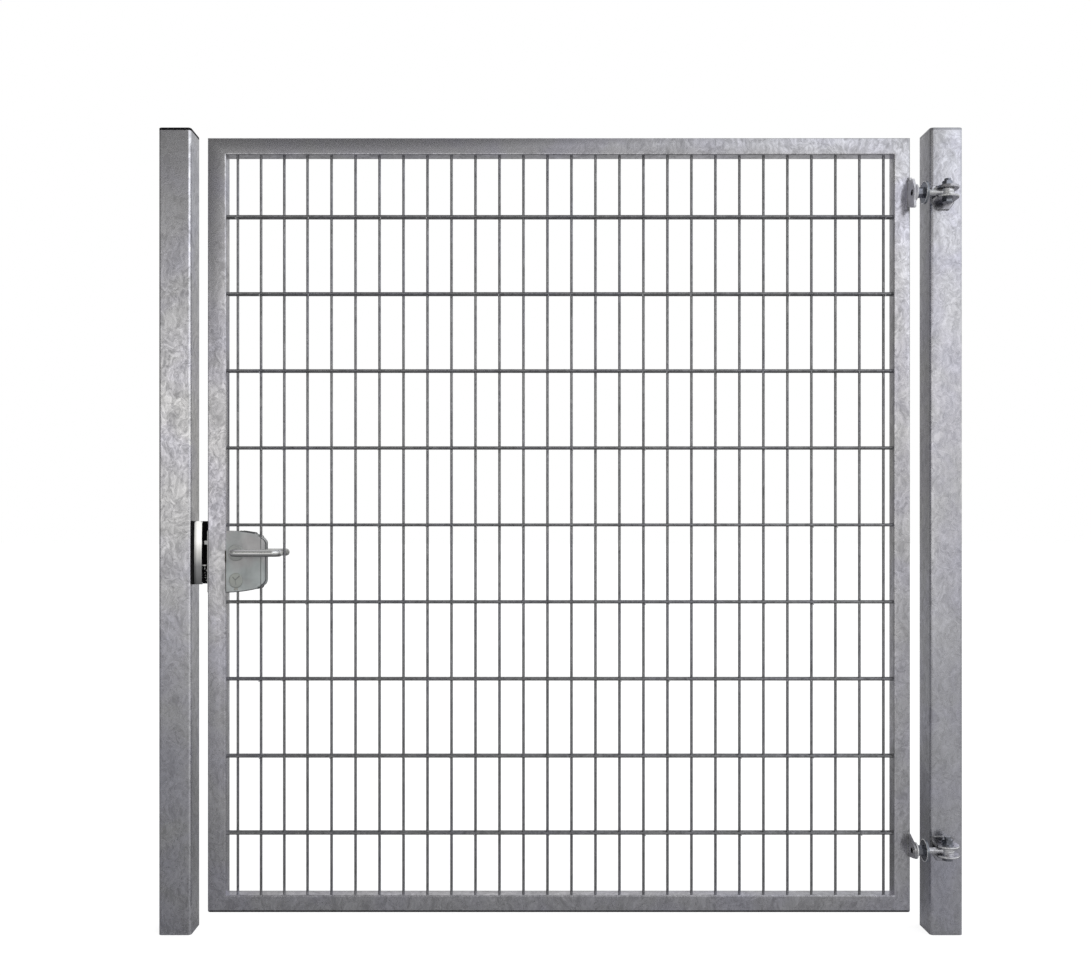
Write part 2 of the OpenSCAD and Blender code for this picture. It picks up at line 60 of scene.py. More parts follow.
def pair(part):
    """The names of a part at the upper hinge and at the lower one."""
    return ["upper_" + part, "lower_" + part]


lock_stile_low, lock_stile_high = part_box("lock_stile")
hinge_stile_low, hinge_stile_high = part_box("hinge_stile")
top_low, top_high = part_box("top_rail")
bottom_low, bottom_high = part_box("bottom_rail")
case_low, case_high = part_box("lock_case")
mesh_left = lock_stile_high.x
mesh_right = hinge_stile_low.x
mesh_bottom = bottom_high.z
mesh_top = top_low.z
leaf_front = lock_stile_low.y
leaf_back = lock_stile_high.y
mesh_y = (leaf_front + leaf_back) / 2
mesh_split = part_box("mesh_lock_half")[1].x
lever_low, lever_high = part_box("front_lever")
lip_low, lip_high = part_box("strike_lip")
housing_low, housing_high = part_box("strike_housing")


# ---- Node helpers ----

def feed(tree, socket, value):
    """Gives a socket a number, a colour or another node's output."""
    if isinstance(value, bpy.types.NodeSocket):
        tree.links.new(value, socket)
    elif isinstance(value, tuple) and len(value) == 3 and socket.type == "RGBA":
        socket.default_value = (*value, 1.0)
    else:
        socket.default_value = value


def add_node(tree, kind, settings=None, **sockets):
    """One shader node with its settings and its sockets fed by name."""
    made = tree.nodes.new(kind)
    for key, value in (settings or {}).items():
        setattr(made, key, value)
    for key, value in sockets.items():
        feed(tree, made.inputs[key.replace("_", " ")], value)
    return made


def math_node(tree, operation, first, second=0.0):
    """The value of one arithmetic step."""
    made = add_node(tree, "ShaderNodeMath", {"operation": operation})
    feed(tree, made.inputs[0], first)
    feed(tree, made.inputs[1], second)
    return made.outputs[0]


def times(tree, first, second):
    """The product of two values."""
    return math_node(tree, "MULTIPLY", first, second)


def plus(tree, first, second):
    """The sum of two values."""
    return math_node(tree, "ADD", first, second)


def vector_node(tree, operation, *values):
    """The vector of one vector step."""
    made = add_node(tree, "ShaderNodeVectorMath", {"operation": operation})
    for socket, value in zip(made.inputs, values):
        feed(tree, socket, value)
    return made.outputs[0]


def mix_colour(tree, factor, first, second, blend="MIX"):
    """Two colours mixed by a factor."""
    made = add_node(tree, "ShaderNodeMix", {"data_type": "RGBA", "blend_type": blend})
    feed(tree, made.inputs[0], factor)
    feed(tree, made.inputs[6], first)
    feed(tree, made.inputs[7], second)
    return made.outputs[2]


def multiply(tree, first, second):
    """Two colours multiplied."""
    return mix_colour(tree, 1.0, first, second, "MULTIPLY")


def mix_value(tree, factor, first, second):
    """Two values mixed by a factor."""
    made = add_node(tree, "ShaderNodeMix", {"data_type": "FLOAT"})
    feed(tree, made.inputs[0], factor)
    feed(tree, made.inputs[2], first)
    feed(tree, made.inputs[3], second)
    return made.outputs[0]


def ramp(tree, factor, stops):
    """A colour ramp from (place, colour) stops; a plain number is a grey."""
    made = tree.nodes.new("ShaderNodeValToRGB")
    elements = made.color_ramp.elements
    while len(elements) < len(stops):
        elements.new(0.5)
    for element, (place, colour) in zip(elements, stops):
        element.position = place
        if isinstance(colour, (int, float)):
            colour = (colour, colour, colour)
        element.color = (*colour, 1.0)
    tree.links.new(factor, made.inputs[0])
    return made.outputs[0]


def map_range(tree, value, low, high, to_low=0.0, to_high=1.0):
    """A value moved from one range to another, held at its ends."""
    made = add_node(tree, "ShaderNodeMapRange", Value=value, From_Min=low, From_Max=high,
                    To_Min=to_low, To_Max=to_high)
    return made.outputs[0]


def object_coordinates(tree, stretch=None):
    """The piece's own coordinates, in metres, so that a pattern stays on it in every pose."""
    place = add_node(tree, "ShaderNodeTexCoord").outputs["Object"]
    if not stretch:
        return place
    return add_node(tree, "ShaderNodeMapping", Vector=place, Scale=stretch).outputs[0]


def noise(tree, vector, scale, detail, roughness, distortion=0.0):
    """A noise texture's value."""
    return add_node(tree, "ShaderNodeTexNoise", Vector=vector, Scale=scale, Detail=detail,
                    Roughness=roughness, Distortion=distortion).outputs["Fac"]


def new_material(name):
    """An empty node material and its Principled shader."""
    material = bpy.data.materials.new(name)
    material.use_nodes = True
    tree = material.node_tree
    return material, tree, tree.nodes["Principled BSDF"]


def finish_surface(tree, shader, colour, metallic, roughness, height, strength, distance):
    """Feeds colour, metal, polish and relief to a shader."""
    feed(tree, shader.inputs["Base Color"], colour)
    feed(tree, shader.inputs["Metallic"], metallic)
    feed(tree, shader.inputs["Roughness"], roughness)
    relief = add_node(tree, "ShaderNodeBump", Strength=strength, Distance=distance, Height=height)
    tree.links.new(relief.outputs[0], shader.inputs["Normal"])


# ---- Materials ----

def zinc(name, tone, metallic=0.93, smooth=0.20, rough=0.32, spangle=1.0, bump=0.10, painted_corner_highlight=0.0):
    """Hot-dip zinc: soft feathery mottling, cloudy patches of blue, grey and straw, fine grain.

    painted_corner_highlight paints a highlight on the rounded corner between the front and the right side.
    """
    swirl_reach = (0.06, 0.06, 0.10)
    upright_stretch = (1.0, 1.0, 0.7)
    flow_share = 0.36
    depth = 0.31 * spangle
    material, tree, shader = new_material(name)
    place = object_coordinates(tree)
    swirl = add_node(tree, "ShaderNodeTexNoise", Vector=place, Scale=14.0, Detail=3.0).outputs["Color"]
    swirl = vector_node(tree, "SUBTRACT", swirl, (0.5, 0.5, 0.5))
    stretched = object_coordinates(tree, upright_stretch)
    curled = vector_node(tree, "MULTIPLY_ADD", swirl, swirl_reach, stretched)
    feather = noise(tree, curled, 105.0, 3.0, 0.55, 0.7)
    flow = noise(tree, curled, 38.0, 3.0, 0.5, 0.4)
    grain = noise(tree, place, 700.0, 2.0, 0.6)
    cloud = noise(tree, place, 7.5, 3.0, 0.5, 0.5)
    pattern = mix_value(tree, flow_share, feather, flow)
    shade = ramp(tree, pattern, [(0.34, 1.0 - depth), (0.5, 1.0), (0.66, 1.0 + depth)])
    speckle = ramp(tree, grain, [(0.3, 0.985), (0.7, 1.015)])
    hue = ramp(tree, cloud, [
        (0.32, (0.96, 0.96, 1.01)), (0.44, (0.985, 0.98, 1.005)), (0.56, (1.00, 1.00, 0.99)),
        (0.70, (1.00, 1.00, 0.975))
    ])
    colour = multiply(tree, tone, shade)
    colour = multiply(tree, colour, speckle)
    colour = multiply(tree, colour, hue)
    # Painted highlight on the rounded corner between the front and the right side.
    if painted_corner_highlight:
        facing = add_node(tree, "ShaderNodeNewGeometry").outputs["Normal"]
        right, front = add_node(tree, "ShaderNodeSeparateXYZ", Vector=facing).outputs[:2]
        corner = times(tree, times(tree, right, front), -2.0)
        corner_highlight_gain = ramp(tree, corner, [(0.45, 1.0), (0.90, 1.0 + painted_corner_highlight)])
        colour = multiply(tree, colour, corner_highlight_gain)
    polish = map_range(tree, pattern, 0.36, 0.64, rough, smooth)
    height = plus(tree, pattern, times(tree, grain, 0.05))
    finish_surface(tree, shader, colour, metallic, polish, height, bump, 1.6 * MM)
    return material


def drawn_metal(name, tone, grain_axis, roughness, contrast=0.10, painted_light=()):
    """Metal brushed along one axis; each painted_light row is an axis, two places on it and tones between
    them, painting shade or highlight along it.
    """
    metallic = 0.9
    material, tree, shader = new_material(name)
    stretch = [420.0] * 3
    stretch[grain_axis] = 14.0
    streak = noise(tree, object_coordinates(tree, tuple(stretch)), 1.0, 3.0, 0.6)
    cloud = noise(tree, object_coordinates(tree), 26.0, 3.0, 0.5)
    shade = ramp(tree, streak, [(0.32, 1.0 - contrast), (0.68, 1.0 + contrast)])
    dulled = ramp(tree, cloud, [(0.35, 0.92), (0.65, 1.04)])
    colour = multiply(tree, tone, shade)
    colour = multiply(tree, colour, dulled)
    # Painted light: a tone that changes along one axis stands in for shade or highlight.
    for axis, low, high, stops in painted_light:
        along = add_node(tree, "ShaderNodeSeparateXYZ", Vector=object_coordinates(tree)).outputs[axis]
        painted_tone = ramp(tree, map_range(tree, along, low, high), stops)
        colour = multiply(tree, colour, painted_tone)
    polish = map_range(tree, cloud, 0.3, 0.7, roughness - 0.05, roughness + 0.05)
    finish_surface(tree, shader, colour, metallic, polish, streak, 0.08, 0.4 * MM)
    return material


def cast_metal(name, tone, metallic=0.55, roughness=0.45, clouding=0.10, tinting=0.0):
    """Satin cast or coated metal: a fine pebbled skin with soft clouding and a drift of tint."""
    material, tree, shader = new_material(name)
    place = object_coordinates(tree)
    cloud = noise(tree, place, 22.0, 4.0, 0.55, 0.6)
    pebble = noise(tree, place, 900.0, 2.0, 0.5)
    shade = ramp(tree, cloud, [(0.34, 1.0 - clouding), (0.52, 1.0), (0.68, 1.0 + 0.7 * clouding)])
    colour = multiply(tree, tone, shade)
    drift = noise(tree, place, 13.0, 2.0, 0.5)
    drift = ramp(tree, drift, [(0.40, (1.02, 1.0, 1.0)), (0.60, (0.94, 1.0, 0.995))])
    colour = mix_colour(tree, tinting, colour, multiply(tree, colour, drift))
    polish = map_range(tree, cloud, 0.3, 0.7, roughness + 0.06, roughness - 0.06)
    finish_surface(tree, shader, colour, metallic, polish, pebble, 0.10, 0.3 * MM)
    return material


def moulded_plastic(name, tone):
    """Matte moulded plastic: spark-eroded grain and faint wear."""
    metallic = 0.0
    roughness = 0.6
    shine = 0.2
    material, tree, shader = new_material(name)
    place = object_coordinates(tree)
    grain = noise(tree, place, 1300.0, 2.0, 0.5)
    cloud = noise(tree, place, 30.0, 3.0, 0.5)
    shade = ramp(tree, cloud, [(0.35, 0.8), (0.7, 1.35)])
    colour = multiply(tree, tone, shade)
    polish = map_range(tree, cloud, 0.3, 0.7, roughness - 0.08, roughness + 0.08)
    finish_surface(tree, shader, colour, metallic, polish, grain, 0.18, 0.3 * MM)
    shader.inputs["Specular IOR Level"].default_value = shine
    return material


post_zinc = zinc("post_zinc", (0.60, 0.596, 0.626), painted_corner_highlight=0.45)
hinge_post_zinc = zinc("hinge_post_zinc", (0.60, 0.598, 0.645), spangle=0.75)
frame_zinc = zinc("frame_zinc", (0.605, 0.598, 0.634))
mesh_zinc = zinc("mesh_zinc", (0.30, 0.30, 0.31), rough=0.46, smooth=0.34, bump=0.2)
hardware_zinc = zinc("hardware_zinc", (0.47, 0.465, 0.49), smooth=0.16, rough=0.26, spangle=0.8)
eye_zinc = zinc("eye_zinc", (0.84, 0.84, 0.86), metallic=0.7, smooth=0.16, rough=0.26, spangle=0.5)
# A paler, less metallic copy of the hinge zinc: painted light on the upper adjuster plate and the plate
# washers.
plate_zinc_painted_light = zinc("plate_zinc_painted_light", (0.92, 0.92, 0.95), metallic=0.4, smooth=0.34, rough=0.42, spangle=0.6)
washer_zinc = zinc("washer_zinc", (0.30, 0.32, 0.35), smooth=0.22, rough=0.30, spangle=0.5)
# Pale zinc for painted highlights on the hinge rims and bands.
painted_highlight_zinc = zinc("painted_highlight_zinc", (0.97, 0.97, 0.98), metallic=0.45, smooth=0.16, rough=0.24, spangle=0.2)
edge_shade = zinc("edge_shade", (0.05, 0.05, 0.055), metallic=0.6, smooth=0.40, rough=0.50, spangle=0.5)
nut_zinc = zinc("nut_zinc", (0.27, 0.28, 0.31), smooth=0.14, rough=0.24, spangle=0.5)
drip_zinc = zinc("drip_zinc", (0.68, 0.68, 0.70), smooth=0.14, rough=0.24, spangle=0.3)
weld_zinc = zinc("weld_zinc", (0.42, 0.42, 0.43), smooth=0.30, rough=0.45, bump=0.25)
case_metal = cast_metal("case_metal", (0.60, 0.60, 0.605), clouding=0.14, tinting=1.0)
rose_metal = cast_metal("rose_metal", (0.54, 0.55, 0.54))
# Darker than the cover: painted shade along the cover's ridge.
ridge_metal_painted_shade = cast_metal("ridge_metal_painted_shade", (0.38, 0.39, 0.38))
cover_metal = cast_metal("cover_metal", (0.54, 0.56, 0.53), clouding=0.05)
# Painted shade: the lever darkens toward its underside.
lever_painted_shade = [(0.0, 0.30), (0.20, 0.50), (0.42, 1.0)]
lever_metal = drawn_metal("lever_metal", (0.96, 0.96, 0.95), 0, roughness=0.17, painted_light=(
    (2, lever_low.z, lever_high.z, lever_painted_shade),
))
bolt_metal = drawn_metal("bolt_metal", (0.56, 0.56, 0.56), 0, roughness=0.30)
cylinder_metal = drawn_metal("cylinder_metal", (0.44, 0.44, 0.42), 2, roughness=0.32)
# Painted reflection on the lip: bright in its upper part, darker toward its foot and its low-x side.
lip_painted_reflection_height = [(0.0, 0.24), (0.28, 0.32), (0.36, 0.46), (0.48, 0.58), (0.60, 0.80), (0.68, 1.0)]
lip_painted_reflection_width = [(0.0, 0.50), (0.28, 0.60), (0.44, 0.96), (1.0, 1.0)]
lip_metal = drawn_metal("lip_metal", (0.98, 0.98, 0.99), 2, roughness=0.12, contrast=0.05, painted_light=(
    (2, lip_low.z, lip_high.z, lip_painted_reflection_height),
    (0, lip_low.x, lip_high.x, lip_painted_reflection_width),
))
worn_lip = drawn_metal("worn_lip", (0.52, 0.52, 0.52), 2, roughness=0.30, contrast=0.12)
black_plastic = moulded_plastic("black_plastic", (0.006, 0.006, 0.007))
cap_black = moulded_plastic("cap_black", (0.008, 0.008, 0.010))
# The hinge post's cap is black plastic like the other; this pale metal paints a reflection on it.
cap_painted_reflection = cast_metal("cap_painted_reflection", (0.50, 0.50, 0.53), metallic=0.8, roughness=0.25)
rim_shade = cast_metal("rim_shade", (0.16, 0.165, 0.17), metallic=0.5, roughness=0.5, clouding=0.2)
# Painted shade for the crease between the stile and the lock case.
seam_painted_shade = cast_metal("seam_painted_shade", (0.060, 0.050, 0.042), metallic=0.1, roughness=0.7, clouding=0.35)
# Painted shade for the key's slot.
painted_keyway_shade = moulded_plastic("painted_keyway_shade", (0.012, 0.012, 0.012))

# Materials of the nodes that stay; the pieces below replace the others.
NODE_MATERIALS = {
    hardware_zinc: pair("hinge_bracket"),
    eye_zinc: pair("eye_bolt"),
    washer_zinc: pair("washer"),
    nut_zinc: pair("hinge_pin") + pair("pin_nut") + pair("lock_nuts"),
    case_metal: ["lock_case", "rear_escutcheon"],
    lever_metal: ["front_lever", "rear_lever"],
    bolt_metal: ["latch_bolt", "dead_bolt", "lock_forend", "spindle"],
    worn_lip: ["strike_lip"],
    black_plastic: ["strike_housing"],
}
for material, names in NODE_MATERIALS.items():
    for name in names:
        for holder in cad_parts[name].material_slots:
            holder.material = material


# ---- Mesh helpers ----

def new_object(name, data):
    """An object, linked to the scene."""
    made = bpy.data.objects.new(name, data)
    scene.collection.objects.link(made)
    return made


def mesh_object(name, mesh_maker, material):
    """An object from bmesh code, with its faces turned outward."""
    builder = bmesh.new()
    mesh_maker(builder)
    bmesh.ops.recalc_face_normals(builder, faces=builder.faces)
    mesh = bpy.data.meshes.new(name)
    builder.to_mesh(mesh)
    builder.free()
    mesh.materials.append(material)
    return new_object(name, mesh)


def finish_piece(name, mesh_maker, body, material, sharp_angle=40.0):
    """A piece from bmesh code, shaded smooth up to an angle, riding on a body."""
    piece = mesh_object(name, mesh_maker, material)
    piece.data.shade_smooth()
    piece.data.set_sharp_from_angle(angle=math.radians(sharp_angle))
    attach(piece, body)
    return piece


def add_bar(builder, start, end, radius, sides=12):
    """A round bar between two points, closed at both ends."""
    start, end = Vector(start), Vector(end)
    turn = (end - start).to_track_quat("Z", "Y").to_matrix().to_4x4()
    place = Matrix.Translation((start + end) / 2) @ turn
    bmesh.ops.create_cone(builder, cap_ends=True, segments=sides, radius1=radius, radius2=radius,
                          depth=(end - start).length, matrix=place)


def add_blob(builder, centre, radii, turn=0.0, detail=1):
    """A small squashed ball, such as a weld spot."""
    place = Matrix.Translation(centre) @ Matrix.Rotation(turn, 4, "Y") @ Matrix.Diagonal((*radii, 1.0))
    bmesh.ops.create_icosphere(builder, subdivisions=detail, radius=1.0, matrix=place)


def add_box(builder, low, high):
    """A box between two corners."""
    low, high = Vector(low), Vector(high)
    size = high - low
    place = Matrix.Translation((low + high) / 2) @ Matrix.Diagonal((*size, 1.0))
    bmesh.ops.create_cube(builder, size=1.0, matrix=place)


def add_skin(builder, rings, loop=False):
    """A skin over rings of points: with a flat face at each end, or with its ends joined in a loop."""
    made = [[builder.verts.new(point) for point in ring] for ring in rings]
    for first, second in zip(made, made[1:] + made[:1] if loop else made[1:]):
        for i, corner in enumerate(first):
            j = (i + 1) % len(first)
            builder.faces.new((corner, first[j], second[j], second[i]))
    if not loop:
        builder.faces.new(made[0])
        builder.faces.new(made[-1])


def add_round_path(builder, path, radius_at, sides=10):
    """A round skin along a path; the radius comes from the step and the angle."""
    rings = []
    turn = None
    for step, point in enumerate(path):
        before = Vector(path[max(step - 1, 0)])
        after = Vector(path[min(step + 1, len(path) - 1)])
        heading = (after - before).normalized()
        if turn is None:
            turn = heading.to_track_quat("Z", "Y")
        else:
            turn = last_heading.rotation_difference(heading) @ turn
        last_heading = heading
        ring = []
        for side in range(sides):
            angle = 2 * math.pi * side / sides
            reach = radius_at(step, angle)
            offset = turn @ Vector((reach * math.cos(angle), reach * math.sin(angle), 0.0))
            ring.append(Vector(point) + offset)
        rings.append(ring)
    add_skin(builder, rings)


def add_arc(builder, centre, reach, first, last, radius, standing=False, steps=24, sides=10):
    """A round bar along an arc between two angles in degrees: level, or standing square to X."""
    path = []
    for step in range(steps + 1):
        angle = math.radians(first + (last - first) * step / steps)
        across = reach * math.cos(angle)
        along = reach * math.sin(angle)
        offset = (0.0, across, along) if standing else (across, along, 0.0)
        path.append([place + shift for place, shift in zip(centre, offset)])
    add_round_path(builder, path, lambda step, angle: radius, sides)


def line_points(start, end, spacing):
    """Evenly spaced points from one end of a line to the other."""
    start, end = Vector(start), Vector(end)
    steps = max(2, round((end - start).length / spacing))
    return [start.lerp(end, i / steps) for i in range(steps + 1)]


def add_bead(builder, corners, radius, draw, ripple=3.2 * MM):
    """A weld bead along a chain of corners, rippled and a little uneven."""
    spacing = ripple / 4
    path = []
    for start, end in zip(corners, corners[1:]):
        path += line_points(start, end, spacing)[1 if path else 0:]
    swell = [draw.uniform(0.86, 1.14) for _ in range(len(path) // 6 + 2)]

    def radius_at(step, angle):
        place = step / 6
        first = swell[int(place)]
        second = swell[int(place) + 1]
        even = first + (second - first) * (place - int(place))
        taper = min(1.0, 0.45 + 0.28 * min(step, len(path) - 1 - step))
        return radius * even * taper * (0.84 + 0.16 * abs(math.sin(math.pi * step / 4)))

    add_round_path(builder, path, radius_at)


def add_thread(builder, start, end):
    """The helical thread of a hinge's bolt or pin between two points."""
    core = 7.7 * MM
    crest = 8.25 * MM
    pitch = 2.0 * MM
    sides = 28
    rings_per_turn = 8
    path = line_points(start, end, pitch / rings_per_turn)

    def radius_at(step, angle):
        phase = (step / rings_per_turn - angle / (2 * math.pi)) % 1.0
        ridge = 1.0 - abs(2.0 * phase - 1.0)
        fade = min(1.0, step / 5, (len(path) - 1 - step) / 5)
        return core + (crest - core) * ridge * fade

    add_round_path(builder, path, radius_at, sides)


def rounded_outline(width, height, corner):
    """Points round a rectangle with round corners, centred on zero."""
    steps = 6
    points = []
    for quarter in range(4):
        across = (width / 2 - corner) * (1 if quarter in (0, 3) else -1)
        up = (height / 2 - corner) * (1 if quarter in (0, 1) else -1)
        for step in range(steps + 1):
            angle = math.pi / 2 * (quarter + step / steps)
            points.append((across + corner * math.cos(angle), up + corner * math.sin(angle)))
    return points


# ---- Posts and frame ----

post_wall = 3 * MM
post_corner = 8.5 * MM
cap_seat = 7 * MM
cap_edge = 1.2 * MM
cap_ease = 0.35 * cap_edge
post_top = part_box("hinge_post_cap")[1].z - 4 * MM
tube_top = post_top - cap_seat


def post_skin(node, levels, loop):
    """A skin round a post's axis; a level is a height and how far the skin stands in there."""
    low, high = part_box(node)
    middle_x = middle(low, high)[0]
    rings = []
    for z, inset in levels:
        side = high.x - low.x - 2 * inset
        outline = rounded_outline(side, side, post_corner - inset)
        rings.append([(middle_x + across, deep, z) for across, deep in outline])
    return lambda builder: add_skin(builder, rings, loop)


cap_levels = (
    (tube_top, 0.0), (post_top - cap_edge, 0.0), (post_top - cap_ease, cap_ease), (post_top, cap_edge)
)
for post, coating, plastic in (
    ("hinge_post", hinge_post_zinc, cap_painted_reflection),
    ("latch_post", post_zinc, cap_black),
):
    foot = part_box(post)[0].z
    tube_levels = ((foot, 0.0), (tube_top, 0.0), (tube_top, post_wall), (foot, post_wall))
    tube = finish_piece(post + "_tube", post_skin(post, tube_levels, True), "posts", coating)
    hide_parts(post)
    cap_skin = post_skin(post + "_cap", cap_levels, False)
    cap = finish_piece(post + "_pressed_cap", cap_skin, "posts", plastic)
    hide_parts(post + "_cap")


def cut_boxes(piece, boxes):
    """Cuts boxes out of a piece and keeps the result as its mesh."""
    cutter = finish_piece("cutter", lambda builder: [add_box(builder, *box) for box in boxes],
                          "leaf", piece.data.materials[0])
    cut = piece.modifiers.new("cut", "BOOLEAN")
    cut.operation = "DIFFERENCE"
    cut.solver = "EXACT"
    cut.object = cutter
    bpy.context.view_layer.update()
    solid = piece.evaluated_get(bpy.context.evaluated_depsgraph_get())
    piece.data = bpy.data.meshes.new_from_object(solid)
    piece.modifiers.clear()
    bpy.data.objects.remove(cutter)


def frame_ring(builder):
    """The leaf's frame in one skin, dressed flush at the mitres, with zinc run on its inner sides."""
    corner = 3.5 * MM
    depth = leaf_back - leaf_front
    side_run = 1.5 * MM
    rail_run = 3.2 * MM
    outer = (lock_stile_low.x, bottom_low.z, hinge_stile_high.x, top_high.z)
    inner = (mesh_left + side_run, mesh_bottom + rail_run, mesh_right - side_run, mesh_top - rail_run)
    rings = []
    for side, level in ((0, 1), (2, 1), (2, 3), (0, 3)):
        height = abs(inner[level] - outer[level])
        ring = []
        for across, deep in rounded_outline(height, depth, corner):
            share = across / height + 0.5
            x = outer[side] + share * (inner[side] - outer[side])
            z = outer[level] + share * (inner[level] - outer[level])
            ring.append((x, mesh_y + deep, z))
        rings.append(ring)
    add_skin(builder, rings, loop=True)


welded_frame = finish_piece("welded_frame", frame_ring, "leaf", frame_zinc, 30.0)
slot_half = 10 * MM
slot_play = 3 * MM
bolt_slots = []
for bolt in ("latch_bolt", "dead_bolt"):
    bolt_low, bolt_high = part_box(bolt)
    bolt_slots.append((
        (lock_stile_low.x - 1 * MM, mesh_y - slot_half, bolt_low.z - slot_play),
        (mesh_left + 3 * MM, mesh_y + slot_half, bolt_high.z + slot_play)
    ))
cut_boxes(welded_frame, bolt_slots)
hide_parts("lock_stile", "hinge_stile", "top_rail", "bottom_rail")


# ---- Welded mesh ----

wire_radius = 3.5 * MM
rod_radius = 4.0 * MM
weld_sink = 0.5 * MM
spot_width = 4.6 * MM
spot_depth = 1.9 * MM
spot_height = 4.9 * MM
wire_pitch = 62.4 * MM
narrow_pitch = 60.4 * MM
narrow_bays = 3
first_wire = 27.4 * MM
rod_pitch = 200.0 * MM
case_wire_overlap = 25 * MM

leaf_height = top_high.z - bottom_low.z
rod_rows = round(leaf_height / rod_pitch) - 1
first_row = (top_high.z + bottom_low.z - (rod_rows - 1) * rod_pitch) / 2
rod_offset = wire_radius + rod_radius - weld_sink
row_heights = [first_row + row * rod_pitch for row in range(rod_rows)]
wire_places = []
wire_x = mesh_left + first_wire
while wire_x < mesh_right - wire_radius:
    wire_places.append(wire_x)
    wire_x += narrow_pitch if len(wire_places) <= narrow_bays else wire_pitch
whole_wire = ((mesh_bottom, mesh_top),)
split_wire = ((mesh_bottom, case_low.z + case_wire_overlap), (case_high.z - case_wire_overlap, mesh_top))


def mesh_half(x_from, x_to, seed):
    """Wires, split where the lock case interrupts them, pairs of rods and their weld spots."""
    def build(builder):
        draw = random.Random(seed)
        own_wires = [x for x in wire_places if x_from < x < x_to]
        for x in own_wires:
            lengths = split_wire if x < case_high.x else whole_wire
            for start, end in lengths:
                add_bar(builder, (x, mesh_y, start), (x, mesh_y, end), wire_radius)
        for z in row_heights:
            for side in (-1, 1):
                y = mesh_y + side * rod_offset
                add_bar(builder, (x_from, y, z), (x_to, y, z), rod_radius)
                contact = mesh_y + side * (wire_radius - weld_sink / 2)
                for x in own_wires:
                    size = draw.uniform(0.9, 1.25)
                    radii = (spot_width * size, spot_depth, spot_height * size)
                    add_blob(builder, (x, contact, z), radii, draw.uniform(-0.4, 0.4))
    return build


for node, x_from, x_to, seed in (
    ("mesh_lock_half", mesh_left, mesh_split, 11),
    ("mesh_hinge_half", mesh_split, mesh_right, 12),
):
    half = finish_piece("welded_" + node, mesh_half(x_from, x_to, seed), "leaf", mesh_zinc)
    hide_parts(node)


def mesh_end_welds(builder):
    """The small collar of weld where each rod and wire meets the frame."""
    draw = random.Random(21)
    rod_collar = (5.2, 6.4)
    wire_collar = (4.6, 5.8)
    rod_collar_depth = 2.6 * MM
    wire_collar_depth = 2.4 * MM
    for z in row_heights:
        for side in (-1, 1):
            y = mesh_y + side * rod_offset
            for x in (mesh_left, mesh_right):
                spread = draw.uniform(*rod_collar) * MM
                add_blob(builder, (x, y, z), (rod_collar_depth, spread, spread), detail=2)
    for x in wire_places:
        for z in (mesh_bottom, mesh_top):
            spread = draw.uniform(*wire_collar) * MM
            add_blob(builder, (x, mesh_y, z), (spread, spread, wire_collar_depth), detail=2)


finish_piece("mesh_end_welds", mesh_end_welds, "leaf", weld_zinc)


def zinc_drips(builder):
    """Bright lumps of zinc that set below some of the crossings."""
    draw = random.Random(34)
    share_with_drip = 0.34
    drip_width = 1.7 * MM
    drip_depth = 2.2 * MM
    y = mesh_y - rod_offset - 1.5 * MM
    for x in wire_places:
        for z in row_heights:
            behind_case = x < case_high.x and case_low.z < z < case_high.z
            if draw.random() > share_with_drip or behind_case:
                continue
            side = draw.choice((-1, 1))
            drop = draw.uniform(3.5, 8.0) * MM
            centre = (x + side * draw.uniform(2.5, 3.5) * MM, y, z - rod_radius)
            add_blob(builder, centre, (drip_width, drip_depth, drop / 2), draw.uniform(-0.2, 0.2), 2)


finish_piece("zinc_drips", zinc_drips, "leaf", drip_zinc)


# ---- Welds of the frame, plates and brackets ----

def frame_corner_welds(builder):
    """A bead through the depth of the frame in each inner corner."""
    draw = random.Random(41)
    inset = 3 * MM
    bead_radius = 3.4 * MM
    for x in (mesh_left, mesh_right):
        for z in (mesh_bottom, mesh_top):
            add_bead(builder, [(x, leaf_front + inset, z), (x, leaf_back - inset, z)], bead_radius, draw)


finish_piece("frame_corner_welds", frame_corner_welds, "leaf", weld_zinc)


def lower_edge_stain(builder):
    """Painted shade: a dark bar along the frame's lower front edge."""
    y = leaf_front + 1.2 * MM
    z = bottom_low.z + 2.0 * MM
    end_gap = 4 * MM
    start = (lock_stile_low.x + end_gap, y, z)
    add_bar(builder, start, (hinge_stile_high.x - end_gap, y, z), 2.6 * MM)


finish_piece("lower_edge_stain", lower_edge_stain, "leaf", edge_shade)


def cut_plate(node, bolt_z, profile):
    """An adjuster plate from its side outline: shares of its depth, and heights about its bolt."""
    low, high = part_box(node)
    depth = high.y - low.y
    rings = [
        [(x, high.y + share * depth, bolt_z + up * MM) for share, up in profile]
        for x in (low.x, high.x)
    ]
    return lambda builder: add_skin(builder, rings)


upper_outline = (
    (0.0, 47), (-0.24, 45), (-0.30, 37), (-0.44, 35), (-0.52, 38), (-0.62, 36), (-0.72, 26), (-0.88, 13),
    (-0.92, 6), (-0.92, -10), (-0.84, -20), (-0.88, -34), (-0.84, -39), (-0.64, -38), (0.0, -28)
)
lower_outline = (
    (0.0, 34), (-0.10, 32), (-0.88, 13), (-0.97, 9), (-1.0, 3), (-1.0, -8), (-0.96, -14), (-0.86, -18),
    (-0.10, -24), (0.0, -24)
)
upper_bolt, lower_bolt = [middle(*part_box(name)) for name in pair("washer")]
